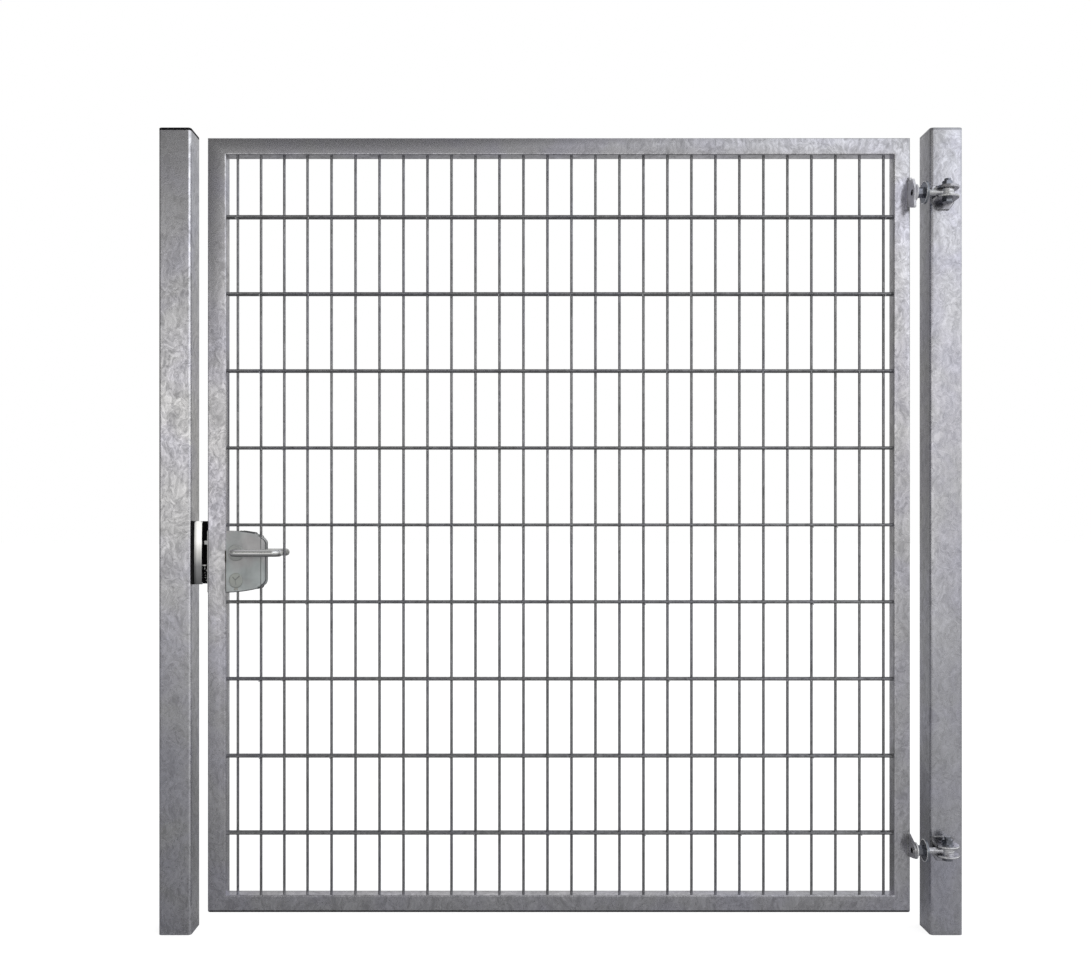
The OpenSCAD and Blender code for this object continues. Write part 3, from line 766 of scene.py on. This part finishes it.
# The upper plate takes the paler zinc as painted light; the lower plate keeps the hinge zinc.
for node, bolt_z, outline, coating in (
    ("upper_adjuster_plate", upper_bolt[2], upper_outline, plate_zinc_painted_light),
    ("lower_adjuster_plate", lower_bolt[2], lower_outline, hardware_zinc),
):
    plate = finish_piece(node + "_cut", cut_plate(node, bolt_z, outline), "leaf", coating,
                         30.0)
    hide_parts(node)


def plate_washers(builder):
    """A broad washer between each adjuster plate and its first nut."""
    washer_radius = 21 * MM
    thickness = 3 * MM
    for node, (_, y, z) in zip(pair("adjuster_plate"), (upper_bolt, lower_bolt)):
        face_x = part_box(node)[1].x
        add_bar(builder, (face_x - 0.2 * MM, y, z), (face_x + thickness, y, z), washer_radius, 36)


finish_piece("plate_washers", plate_washers, "leaf", plate_zinc_painted_light)


def plate_welds(builder):
    """A bead up each adjuster plate where it meets the stile, turned over its top and foot."""
    draw = random.Random(47)
    for name, head, foot in (("upper_adjuster_plate", 8 * MM, 0.0), ("lower_adjuster_plate", 0.0, 10 * MM)):
        low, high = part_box(name)
        edge = high.x - 1.5 * MM
        foot_z = low.z + foot
        head_z = high.z - head
        corners = ((edge, foot_z), (low.x, foot_z), (low.x, head_z), (edge, head_z))
        add_bead(builder, [(x, leaf_front, z) for x, z in corners], 2.0 * MM, draw)


finish_piece("plate_welds", plate_welds, "leaf", weld_zinc)


def bracket_welds(builder):
    """Beads down both sides of each bracket's back plate, and across its top and foot."""
    draw = random.Random(53)
    foot = 15 * MM
    cut = 5 * MM
    for name in pair("hinge_bracket"):
        low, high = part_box(name)
        pin_x = middle(low, high)[0]
        flange_low = high.z - 40.8 * MM
        y = high.y
        chain = [
            (pin_x - foot, y, low.z), (low.x, y, flange_low), (low.x, y, high.z - cut),
            (low.x + cut, y, high.z), (high.x - cut, y, high.z), (high.x, y, high.z - cut),
            (high.x, y, flange_low), (pin_x + foot, y, low.z), (pin_x - foot, y, low.z)
        ]
        add_bead(builder, chain, 2.6 * MM, draw)


finish_piece("bracket_welds", bracket_welds, "posts", weld_zinc)


# ---- Painted highlights on the hinges ----

def nose_painted_highlights(builder):
    """Painted highlights: pale bars round the noses of the brackets, at levels given about the pin's
    middle.
    """
    pin_drop = 26 * MM
    for name, levels in zip(pair("hinge_bracket"), ((-11.8,), (-11.8, 12.5))):
        low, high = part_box(name)
        nose_r = (high.x - low.x) / 2
        for level in levels:
            centre = (middle(low, high)[0], low.y + nose_r, high.z - pin_drop + level * MM)
            add_arc(builder, centre, nose_r - 1.2 * MM, 200, 350, 2.3 * MM)


finish_piece("nose_painted_highlights", nose_painted_highlights, "posts", painted_highlight_zinc)


def eye_painted_highlights(builder):
    """A painted highlight: a pale band round the middle of each eye."""
    for name in pair("eye_bolt"):
        low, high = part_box(name)
        radius = (high.y - low.y) / 2
        y, z = middle(low, high)[1:]
        add_arc(builder, (high.x - radius, y, z - 1 * MM), radius - 1.6 * MM, 215, 345, 2.4 * MM)


finish_piece("eye_painted_highlights", eye_painted_highlights, "leaf", painted_highlight_zinc)


def washer_painted_highlights(builder):
    """A painted highlight: a pale ring round each wide washer, near its rim."""
    for name in pair("washer"):
        low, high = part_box(name)
        y, z = middle(low, high)[1:]
        reach = (high.z - low.z) / 2 - 1.5 * MM
        add_arc(builder, (low.x + 0.5 * MM, y, z), reach, 0, 360, 1.5 * MM, True, 48, 8)


finish_piece("washer_painted_highlights", washer_painted_highlights, "leaf", painted_highlight_zinc)


# ---- Hinge threads ----

def shank_threads(builder):
    """The thread of each eye bolt, between its eye and the washer and past the plate."""
    for name in pair("eye_bolt"):
        low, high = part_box(name)
        y, z = middle(low, high)[1:]
        washer_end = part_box(name.replace("eye_bolt", "washer"))[1].x
        eye_start = high.x - (high.z - low.z) - 15.5 * MM
        add_thread(builder, (washer_end - 2 * MM, y, z), (eye_start, y, z))
        add_thread(builder, (low.x, y, z), (low.x + 4 * MM, y, z))


finish_piece("shank_threads", shank_threads, "leaf", hardware_zinc, 60.0)


def pin_threads(builder):
    """The thread of each hinge pin where it stands above its nut."""
    for name in pair("hinge_pin"):
        low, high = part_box(name)
        x, y = middle(low, high)[:2]
        nut_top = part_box(name.replace("hinge_pin", "pin_nut"))[1].z
        add_thread(builder, (x, y, nut_top - 2 * MM), (x, y, high.z - 0.8 * MM))


finish_piece("pin_threads", pin_threads, "posts", nut_zinc, 60.0)


# ---- Lock ----

rose_low, rose_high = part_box("front_rose")
spindle_x, _, spindle_z = middle(rose_low, rose_high)
rose_edge = (rose_high.x - rose_low.x) / 2 / MM
cylinder_z = spindle_z - 72 * MM
rose_profile = (
    (10.0, 0.0), (rose_edge, 0.0), (rose_edge, 2.6), (rose_edge - 0.5, 3.9), (rose_edge - 1.7, 4.7),
    (rose_edge - 3.2, 5.0), (rose_edge - 4.6, 5.0), (rose_edge - 5.0, 4.5), (rose_edge - 5.6, 4.5),
    (rose_edge - 6.0, 5.0), (10.6, 5.0), (10.0, 4.4)
)


def rose(face_y, outward):
    """A turned rose: round rim, shallow groove and a hole for the lever."""
    sides = 72
    rings = []
    for side in range(sides):
        angle = 2 * math.pi * side / sides
        rings.append([
            (spindle_x + reach * MM * math.cos(angle), face_y + outward * out * MM,
             spindle_z + reach * MM * math.sin(angle))
            for reach, out in rose_profile
        ])
    return lambda builder: add_skin(builder, rings, loop=True)


for node, face_y, outward in (("front_rose", case_low.y, -1), ("rear_rose", case_high.y, 1)):
    turned = finish_piece("turned_" + node, rose(face_y, outward), "leaf", rose_metal)
    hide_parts(node)

cylinder_low, cylinder_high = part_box("key_cylinder")
plug_r = 8.5 * MM
cover_z = cylinder_z + 0.5 * MM


def cylinder_body(builder):
    """The cylinder: a round barrel over a narrow tail, hidden in front and standing out behind."""
    tail_w = 5 * MM
    tail_z = cylinder_low.z - cylinder_z
    arc = [math.radians(270 - 36 - 288 * step / 28) for step in range(29)]
    outline = [(plug_r * math.cos(angle), plug_r * math.sin(angle)) for angle in arc]
    outline = [(-tail_w, tail_z)] + outline + [(tail_w, tail_z)]
    rings = [
        [(spindle_x + across, y, cylinder_z + up) for across, up in outline]
        for y in (case_low.y + 1 * MM, cylinder_high.y)
    ]
    add_skin(builder, rings)


cylinder = finish_piece("cylinder_body", cylinder_body, "leaf", cylinder_metal)
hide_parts("key_cylinder")


def cylinder_cover(builder):
    """The low oval cover that turns over the key cylinder."""
    cover_w = 34 * MM
    cover_h = 39 * MM
    rings = []
    for inset, out in ((0.0, -0.5), (0.0, 1.6), (0.5, 2.4), (1.6, 2.9), (3.4, 3.1)):
        width = cover_w - 2 * inset * MM
        outline = rounded_outline(width, cover_h - 2 * inset * MM, width / 2 - 0.1 * MM)
        rings.append([(spindle_x + across, case_low.y - out * MM, cover_z + up) for across, up in outline])
    add_skin(builder, rings)


def cover_ridge(builder):
    """The finger ridge on the cover: a tick, and a thinner ridge down from its bend, darker than the cover
    as painted shade.
    """
    y = case_low.y - 2.9 * MM
    thick = 1.3 * MM
    thin = 0.9 * MM
    left, bend, right, foot = [
        (spindle_x + across * MM, y, cover_z + up * MM)
        for across, up in ((-8, 9), (-1, 1), (10, 12), (1, -12))
    ]
    for start, end, radius in ((left, bend, thick), (bend, right, thick), (bend, foot, thin)):
        add_bar(builder, start, end, radius, 10)


finish_piece("cover_ridge", cover_ridge, "leaf", ridge_metal_painted_shade)
cover = finish_piece("cylinder_cover", cylinder_cover, "leaf", cover_metal)
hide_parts("front_escutcheon")


def cylinder_plug(builder):
    """The round plug at the back end of the cylinder."""
    start = (spindle_x, cylinder_high.y - 1 * MM, cylinder_z)
    add_bar(builder, start, (spindle_x, cylinder_high.y + 0.5 * MM, cylinder_z), 6.4 * MM, 40)


finish_piece("cylinder_plug", cylinder_plug, "leaf", cylinder_metal)


def painted_keyway_block(builder):
    """Painted shade for the key's slot: a near-black stepped block on the plug's back face."""
    parts = ((-0.6, -4.4, 0.6, 4.2), (-1.4, -1.2, 0.8, 0.2), (-0.2, 1.6, 1.5, 2.8))
    for left, low, right, high in parts:
        corner = (spindle_x + left * MM, cylinder_high.y - 1 * MM, cylinder_z + low * MM)
        other = (spindle_x + right * MM, cylinder_high.y + 0.75 * MM, cylinder_z + high * MM)
        add_box(builder, corner, other)


finish_piece("painted_keyway_block", painted_keyway_block, "leaf", painted_keyway_shade)


def case_seam_painted_shade(builder):
    """Painted shade in the crease between the stile and the case, broadest just below the spindle."""
    thin = 1.3 * MM
    deep = 2.1 * MM
    deep_steps = 8
    for y in (case_low.y + 0.5 * MM, case_high.y - 0.5 * MM):
        start = (mesh_left, y, case_low.z + 3 * MM)
        path = line_points(start, (mesh_left, y, spindle_z + 6 * MM), 4 * MM)
        last_thin = len(path) - 1 - deep_steps
        add_round_path(builder, path, lambda step, angle: deep if step > last_thin else thin, 8)


finish_piece("case_seam_painted_shade", case_seam_painted_shade, "leaf", seam_painted_shade)

case_faces = ((case_low.y, 1), (case_high.y, -1))
case_w = case_high.x - case_low.x
case_middle_z = (case_high.z + case_low.z) / 2
case_arch = 350 * MM
case_corner = 20 * MM
case_drop = case_arch - math.sqrt(case_arch ** 2 - case_w ** 2)


def case_edge_path(side, inset):
    """Front-view points along the case's arched top (side 1) or foot (-1) and round its outer corner."""
    half = (case_high.z - case_low.z) / 2
    corner_z = half - case_drop - case_corner
    reach = case_corner - inset
    points = []
    for step in range(41):
        across = (case_w - case_corner * 0.75) * step / 40
        up = half - case_arch + math.sqrt(case_arch ** 2 - across ** 2) - inset
        points.append((across, side * up))
    for step in range(1, 13):
        angle = math.radians(68 - 68 * step / 12)
        across = case_w - case_corner + reach * math.cos(angle)
        points.append((across, side * (corner_z + reach * math.sin(angle))))
    return points


def case_painted_shade_lines(builder):
    """Painted shade: a dark line round the case's foot and outer edge, and a thin one down each face where
    the outer edge starts to round.
    """
    edge_round = 16 * MM
    inset = 1.2 * MM
    thin = 1.1 * MM
    deep = 1.9 * MM
    lower_path = case_edge_path(-1, inset)
    corner_steps = range(len(lower_path) - 15, len(lower_path) + 6)
    for y, depth in case_faces:
        path = []
        for across, up in lower_path + case_edge_path(1, inset)[:-14:-1]:
            fall = max(0.0, across - (case_w - edge_round))
            back = edge_round - math.sqrt(max(0.0, edge_round ** 2 - fall ** 2))
            path.append((case_low.x + across, y + depth * (back + 0.2 * MM), case_middle_z + up))
        add_round_path(builder, path, lambda step, angle: deep if step in corner_steps else thin, 8)
        # A thin line of painted shade where the outer edge starts to round.
        shade_line_x = case_high.x - 12 * MM
        shade_line_y = y + depth * 0.5 * MM
        shade_line_start = (shade_line_x, shade_line_y, case_low.z + 16 * MM)
        add_bar(builder, shade_line_start, (shade_line_x, shade_line_y, case_high.z - 16 * MM), 0.8 * MM, 8)


finish_piece("case_painted_shade_lines", case_painted_shade_lines, "leaf", rim_shade)


def case_top_dark_bead(builder):
    """An uneven dark bead over part of the case's top edge."""
    draw = random.Random(61)
    lift = 1.0 * MM
    for y, depth in case_faces:
        crown = [
            (case_low.x + across, y + depth * lift, case_middle_z + up + lift)
            for across, up in case_edge_path(1, 0.0)[17:35]
        ]
        add_bead(builder, crown, 1.9 * MM, draw, 7 * MM)


finish_piece("case_top_dark_bead", case_top_dark_bead, "leaf", rim_shade)


def stile_welds(builder):
    """The bead between the stile and the case, above the spindle."""
    draw = random.Random(63)
    for y, depth in case_faces:
        place = y + depth * 1.4 * MM
        start = (mesh_left, place, spindle_z + 12 * MM)
        add_bead(builder, [start, (mesh_left, place, case_high.z)], 2.4 * MM, draw)


finish_piece("stile_welds", stile_welds, "leaf", frame_zinc)


def forend_screws(builder):
    """The two countersunk screws of the forend plate."""
    low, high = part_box("lock_forend")
    y = middle(low, high)[1]
    end_gap = 8 * MM
    for z in (low.z + end_gap, high.z - end_gap):
        add_bar(builder, (low.x - 0.35 * MM, y, z), (low.x + 1.5 * MM, y, z), 4.2 * MM, 28)


finish_piece("forend_screws", forend_screws, "leaf", bolt_metal)


# ---- Strike ----

def lip_face(builder):
    """The lip's sprung facing, bowed forward below its middle and round at both ends."""
    left = lip_low.x + 3 * MM
    middle_x = (left + lip_high.x) / 2
    half = (lip_high.x - left) / 2
    bow = 4 * MM
    bow_z = lip_low.z + 49 * MM
    low_z = lip_low.z + 0.5 * MM
    high_z = lip_high.z - 0.5 * MM
    steps = 18
    ends = [(0.0, 0.55), (2 * MM, 0.86), (5 * MM, 1.0)]
    levels = [(low_z + up, share) for up, share in ends]
    levels += [(low_z + (high_z - low_z) * step / 20, 1.0) for step in range(1, 20)]
    levels += [(high_z - up, share) for up, share in reversed(ends)]
    rings = []
    for z, share in levels:
        front = lip_low.y - 0.4 * MM - bow * (1 - ((z - bow_z) / (high_z - bow_z)) ** 2)
        across = [(2 * step / steps - 1) * share * half for step in range(steps + 1)]
        ring = [(middle_x + x, front + 0.5 * MM * (x / half) ** 2, z) for x in across]
        ring += [(middle_x + x, lip_high.y - 1 * MM, z) for x in reversed(across)]
        rings.append(ring)
    add_skin(builder, rings)


finish_piece("lip_face", lip_face, "posts", lip_metal, 30.0)


def buffer_wedge(builder):
    """The bright stop under the latch's way, and the uneven foot of the buffer below it."""
    draw = random.Random(67)
    wedge_z = spindle_z - 33 * MM
    y = lip_low.y + 4 * MM
    low = (lip_high.x - 2 * MM, y, wedge_z - 1.6 * MM)
    add_box(builder, low, (lock_stile_low.x - 5.5 * MM, y + 9 * MM, wedge_z + 2.0 * MM))
    for drop in (8, 13, 19, 26, 32, 39):
        place = (lip_high.x + draw.uniform(2, 8) * MM, y + 12 * MM, wedge_z - drop * MM)
        radii = (draw.uniform(1.6, 3.2) * MM, 2 * MM, draw.uniform(1.5, 4.5) * MM)
        add_blob(builder, place, radii, draw.uniform(-0.7, 0.7), 2)


finish_piece("buffer_wedge", buffer_wedge, "posts", worn_lip)


def buffer_ladder(builder):
    """Fine cross ribs of the rubber buffer, level with the latch and the spindle."""
    rib_step = 3.4 * MM
    back = leaf_back + 9 * MM
    z = spindle_z - 24 * MM
    while z < spindle_z + 20 * MM:
        low = (lip_high.x + 2 * MM, back - 3.2 * MM, z)
        add_box(builder, low, (housing_high.x - 2 * MM, back, z + 0.45 * rib_step))
        z += rib_step


finish_piece("buffer_ladder", buffer_ladder, "posts", black_plastic)


def strike_screws(builder):
    """Two button-headed screws that hold the strike to the post, behind the lip."""
    x = housing_low.x + 6 * MM
    y = (lip_high.y + leaf_back) / 2 - 4 * MM
    end_gap = 16 * MM
    head_radius = 6.5 * MM
    for z in (housing_low.z + end_gap, housing_high.z - end_gap):
        add_blob(builder, (x, y, z), (3.4 * MM, head_radius, head_radius), detail=3)


finish_piece("strike_screws", strike_screws, "posts", bolt_metal)


# ---- Floor, backdrop, light and camera ----

# A stretch is where it starts and ends, then the value at each; the values are 0 and 1 unless given.
floor_tone = 0.42
floor_back_tone = 0.23
floor_back_stretch = (0.1, 0.6)
floor_glow = 0.85
near_gloss = (0.2, 1.5, 0.0, 0.045)
far_gloss = (-4.5, -14.0, 0.0, 0.40)
mid_gloss = (1.6, 3.2, 0.0, 0.13)
back_gloss = (3.5, 14.0, 0.0, 0.05)
left_gloss = (-1.9, -0.5, 0.11, 0.0)
right_gloss = (-2.4, 1.0, 0.0, 0.13)
left_gloss_start = (0.0, 0.2)
left_gloss_end = (2.0, 3.0, 1.0, 0.0)

front_left_stops = [
    (0.0, 0.84), (0.03, 0.90), (0.09, 0.94), (0.16, 0.84),
    (0.22, 0.36), (0.28, 0.10), (0.36, 0.07), (1.0, 0.06)
]
front_right_stops = [
    (0.0, 0.45), (0.03, 0.48), (0.08, 0.62), (0.15, 0.78),
    (0.23, 0.98), (0.30, 1.0), (0.45, 0.8), (1.0, 0.5)
]
front_turn = (0.0, 0.32)
front_turn_power = 1.5
front_gain = 1.32
behind_turn = (-0.5, 0.5, 0.22, 0.53)
behind_rise = (0.0, 0.35, 0.0, 0.07)
panel_height = (0.18, 0.30, 0.0, 0.18)
panel_middle = -0.05
panel_width = (0.15, 0.28, 1.0, 0.0)
side_turn = (-1.0, 1.0, 0.12, 0.95)
side_to_behind = (0.25, 0.75)
side_to_front = (-0.30, -0.75)
white = (1.0, 1.0, 1.0)
horizon_tint = (1.0, 0.99, 0.945)
horizon_end = (0.10, 0.22)
upper_right_tint = (0.975, 1.0, 1.04)
upper_start = (0.16, 0.28)
right_start = (0.12, 0.34)


def seen_directly(tree, rays):
    """1 for a ray from the camera or through glass, 0 for the rest."""
    return math_node(tree, "MAXIMUM", rays["Is Camera Ray"], rays["Is Transmission Ray"])


def floor_plane(builder):
    """A flat square, wide enough to reach the horizon."""
    bmesh.ops.create_grid(builder, x_segments=1, y_segments=1, size=60.0)


def studio_floor():
    """A pale floor: white to the camera with a soft shadow; in gloss, darker near the gate."""
    material, tree, _ = new_material("studio_floor")
    tree.nodes.clear()
    rays = add_node(tree, "ShaderNodeLightPath").outputs
    shown = seen_directly(tree, rays)
    x, y = add_node(tree, "ShaderNodeSeparateXYZ", Vector=object_coordinates(tree)).outputs[:2]
    near = map_range(tree, math_node(tree, "ABSOLUTE", y), *near_gloss)
    ahead = map_range(tree, y, *far_gloss)
    behind = plus(tree, map_range(tree, y, *mid_gloss), map_range(tree, y, *back_gloss))
    close_behind = times(tree, map_range(tree, y, *left_gloss_start), map_range(tree, y, *left_gloss_end))
    aside = mix_value(tree, close_behind, map_range(tree, x, *right_gloss), map_range(tree, x, *left_gloss))
    gloss = plus(tree, plus(tree, near, aside), plus(tree, ahead, behind))
    glow = times(tree, rays["Is Glossy Ray"], gloss)
    glow = math_node(tree, "MAXIMUM", times(tree, shown, floor_glow), glow)
    past = times(tree, rays["Is Glossy Ray"], map_range(tree, y, *floor_back_stretch))
    tone = mix_value(tree, past, floor_tone, floor_back_tone)
    matte = add_node(tree, "ShaderNodeBsdfDiffuse", Color=tone)
    light = add_node(tree, "ShaderNodeEmission", Color=white, Strength=glow)
    both = tree.nodes.new("ShaderNodeAddShader")
    tree.links.new(matte.outputs[0], both.inputs[0])
    tree.links.new(light.outputs[0], both.inputs[1])
    output = tree.nodes.new("ShaderNodeOutputMaterial")
    tree.links.new(both.outputs[0], output.inputs[0])
    mesh_object("studio_floor", floor_plane, material)


def studio_world():
    """White to the camera; to the metal, a bright horizon that fades upward on the left only."""
    world = bpy.data.worlds.new("studio")
    world.use_nodes = True
    scene.world = world
    tree = world.node_tree
    tree.nodes.clear()
    shown = seen_directly(tree, add_node(tree, "ShaderNodeLightPath").outputs)
    place = add_node(tree, "ShaderNodeTexCoord").outputs["Generated"]
    x, y, z = add_node(tree, "ShaderNodeSeparateXYZ", Vector=place).outputs[:3]
    height = math_node(tree, "MAXIMUM", z, 0.0)
    front_left = ramp(tree, height, front_left_stops)
    front_right = ramp(tree, height, front_right_stops)
    turn = math_node(tree, "POWER", map_range(tree, x, *front_turn), front_turn_power)
    front = mix_value(tree, turn, front_left, front_right)
    front = times(tree, front, front_gain)
    behind = plus(tree, map_range(tree, x, *behind_turn), map_range(tree, z, *behind_rise))
    off_middle = math_node(tree, "ABSOLUTE", plus(tree, x, -panel_middle))
    panel = times(tree, map_range(tree, z, *panel_height), map_range(tree, off_middle, *panel_width))
    behind = plus(tree, behind, panel)
    aside = map_range(tree, x, *side_turn)
    strength = mix_value(tree, map_range(tree, y, *side_to_behind), aside, behind)
    strength = mix_value(tree, map_range(tree, y, *side_to_front), strength, front)
    strength = mix_value(tree, shown, strength, 1.0)
    warm = mix_colour(tree, map_range(tree, height, *horizon_end), horizon_tint, white)
    cool = times(tree, map_range(tree, height, *upper_start), map_range(tree, x, *right_start))
    tint = mix_colour(tree, cool, warm, upper_right_tint)
    tint = mix_colour(tree, shown, tint, white)
    sky = add_node(tree, "ShaderNodeBackground", Color=tint, Strength=strength)
    output = tree.nodes.new("ShaderNodeOutputWorld")
    tree.links.new(sky.outputs[0], output.inputs[0])


def key_light():
    """A wide, soft lamp above the front that faces the leaf's middle and isn't mirrored."""
    place = Vector((0.2, -5.4, 3.6))
    leaf_middle = Vector((-1.0, 0.0, 1.05))
    lamp = bpy.data.lights.new("key_light", "AREA")
    lamp.shape = "RECTANGLE"
    lamp.size = 4.4
    lamp.size_y = 3.4
    lamp.energy = 34.0
    holder = new_object("key_light", lamp)
    holder.location = place
    holder.rotation_euler = (leaf_middle - place).to_track_quat("-Z", "Y").to_euler()
    holder.visible_camera = False
    holder.visible_glossy = False


def photograph_camera():
    """Level camera in front of the gate, left of its middle, framed by a small shift."""
    camera = bpy.data.cameras.new("camera")
    camera.lens = 37.30
    camera.shift_x = 0.0294
    camera.shift_y = 0.0338
    camera.clip_end = 200.0
    holder = new_object("camera", camera)
    holder.location = (-1.119, -2.962, 1.06)
    holder.rotation_euler = (math.radians(90), 0, 0)
    scene.camera = holder


studio_floor()
studio_world()
key_light()
photograph_camera()
scene.view_settings.view_transform = "Standard"
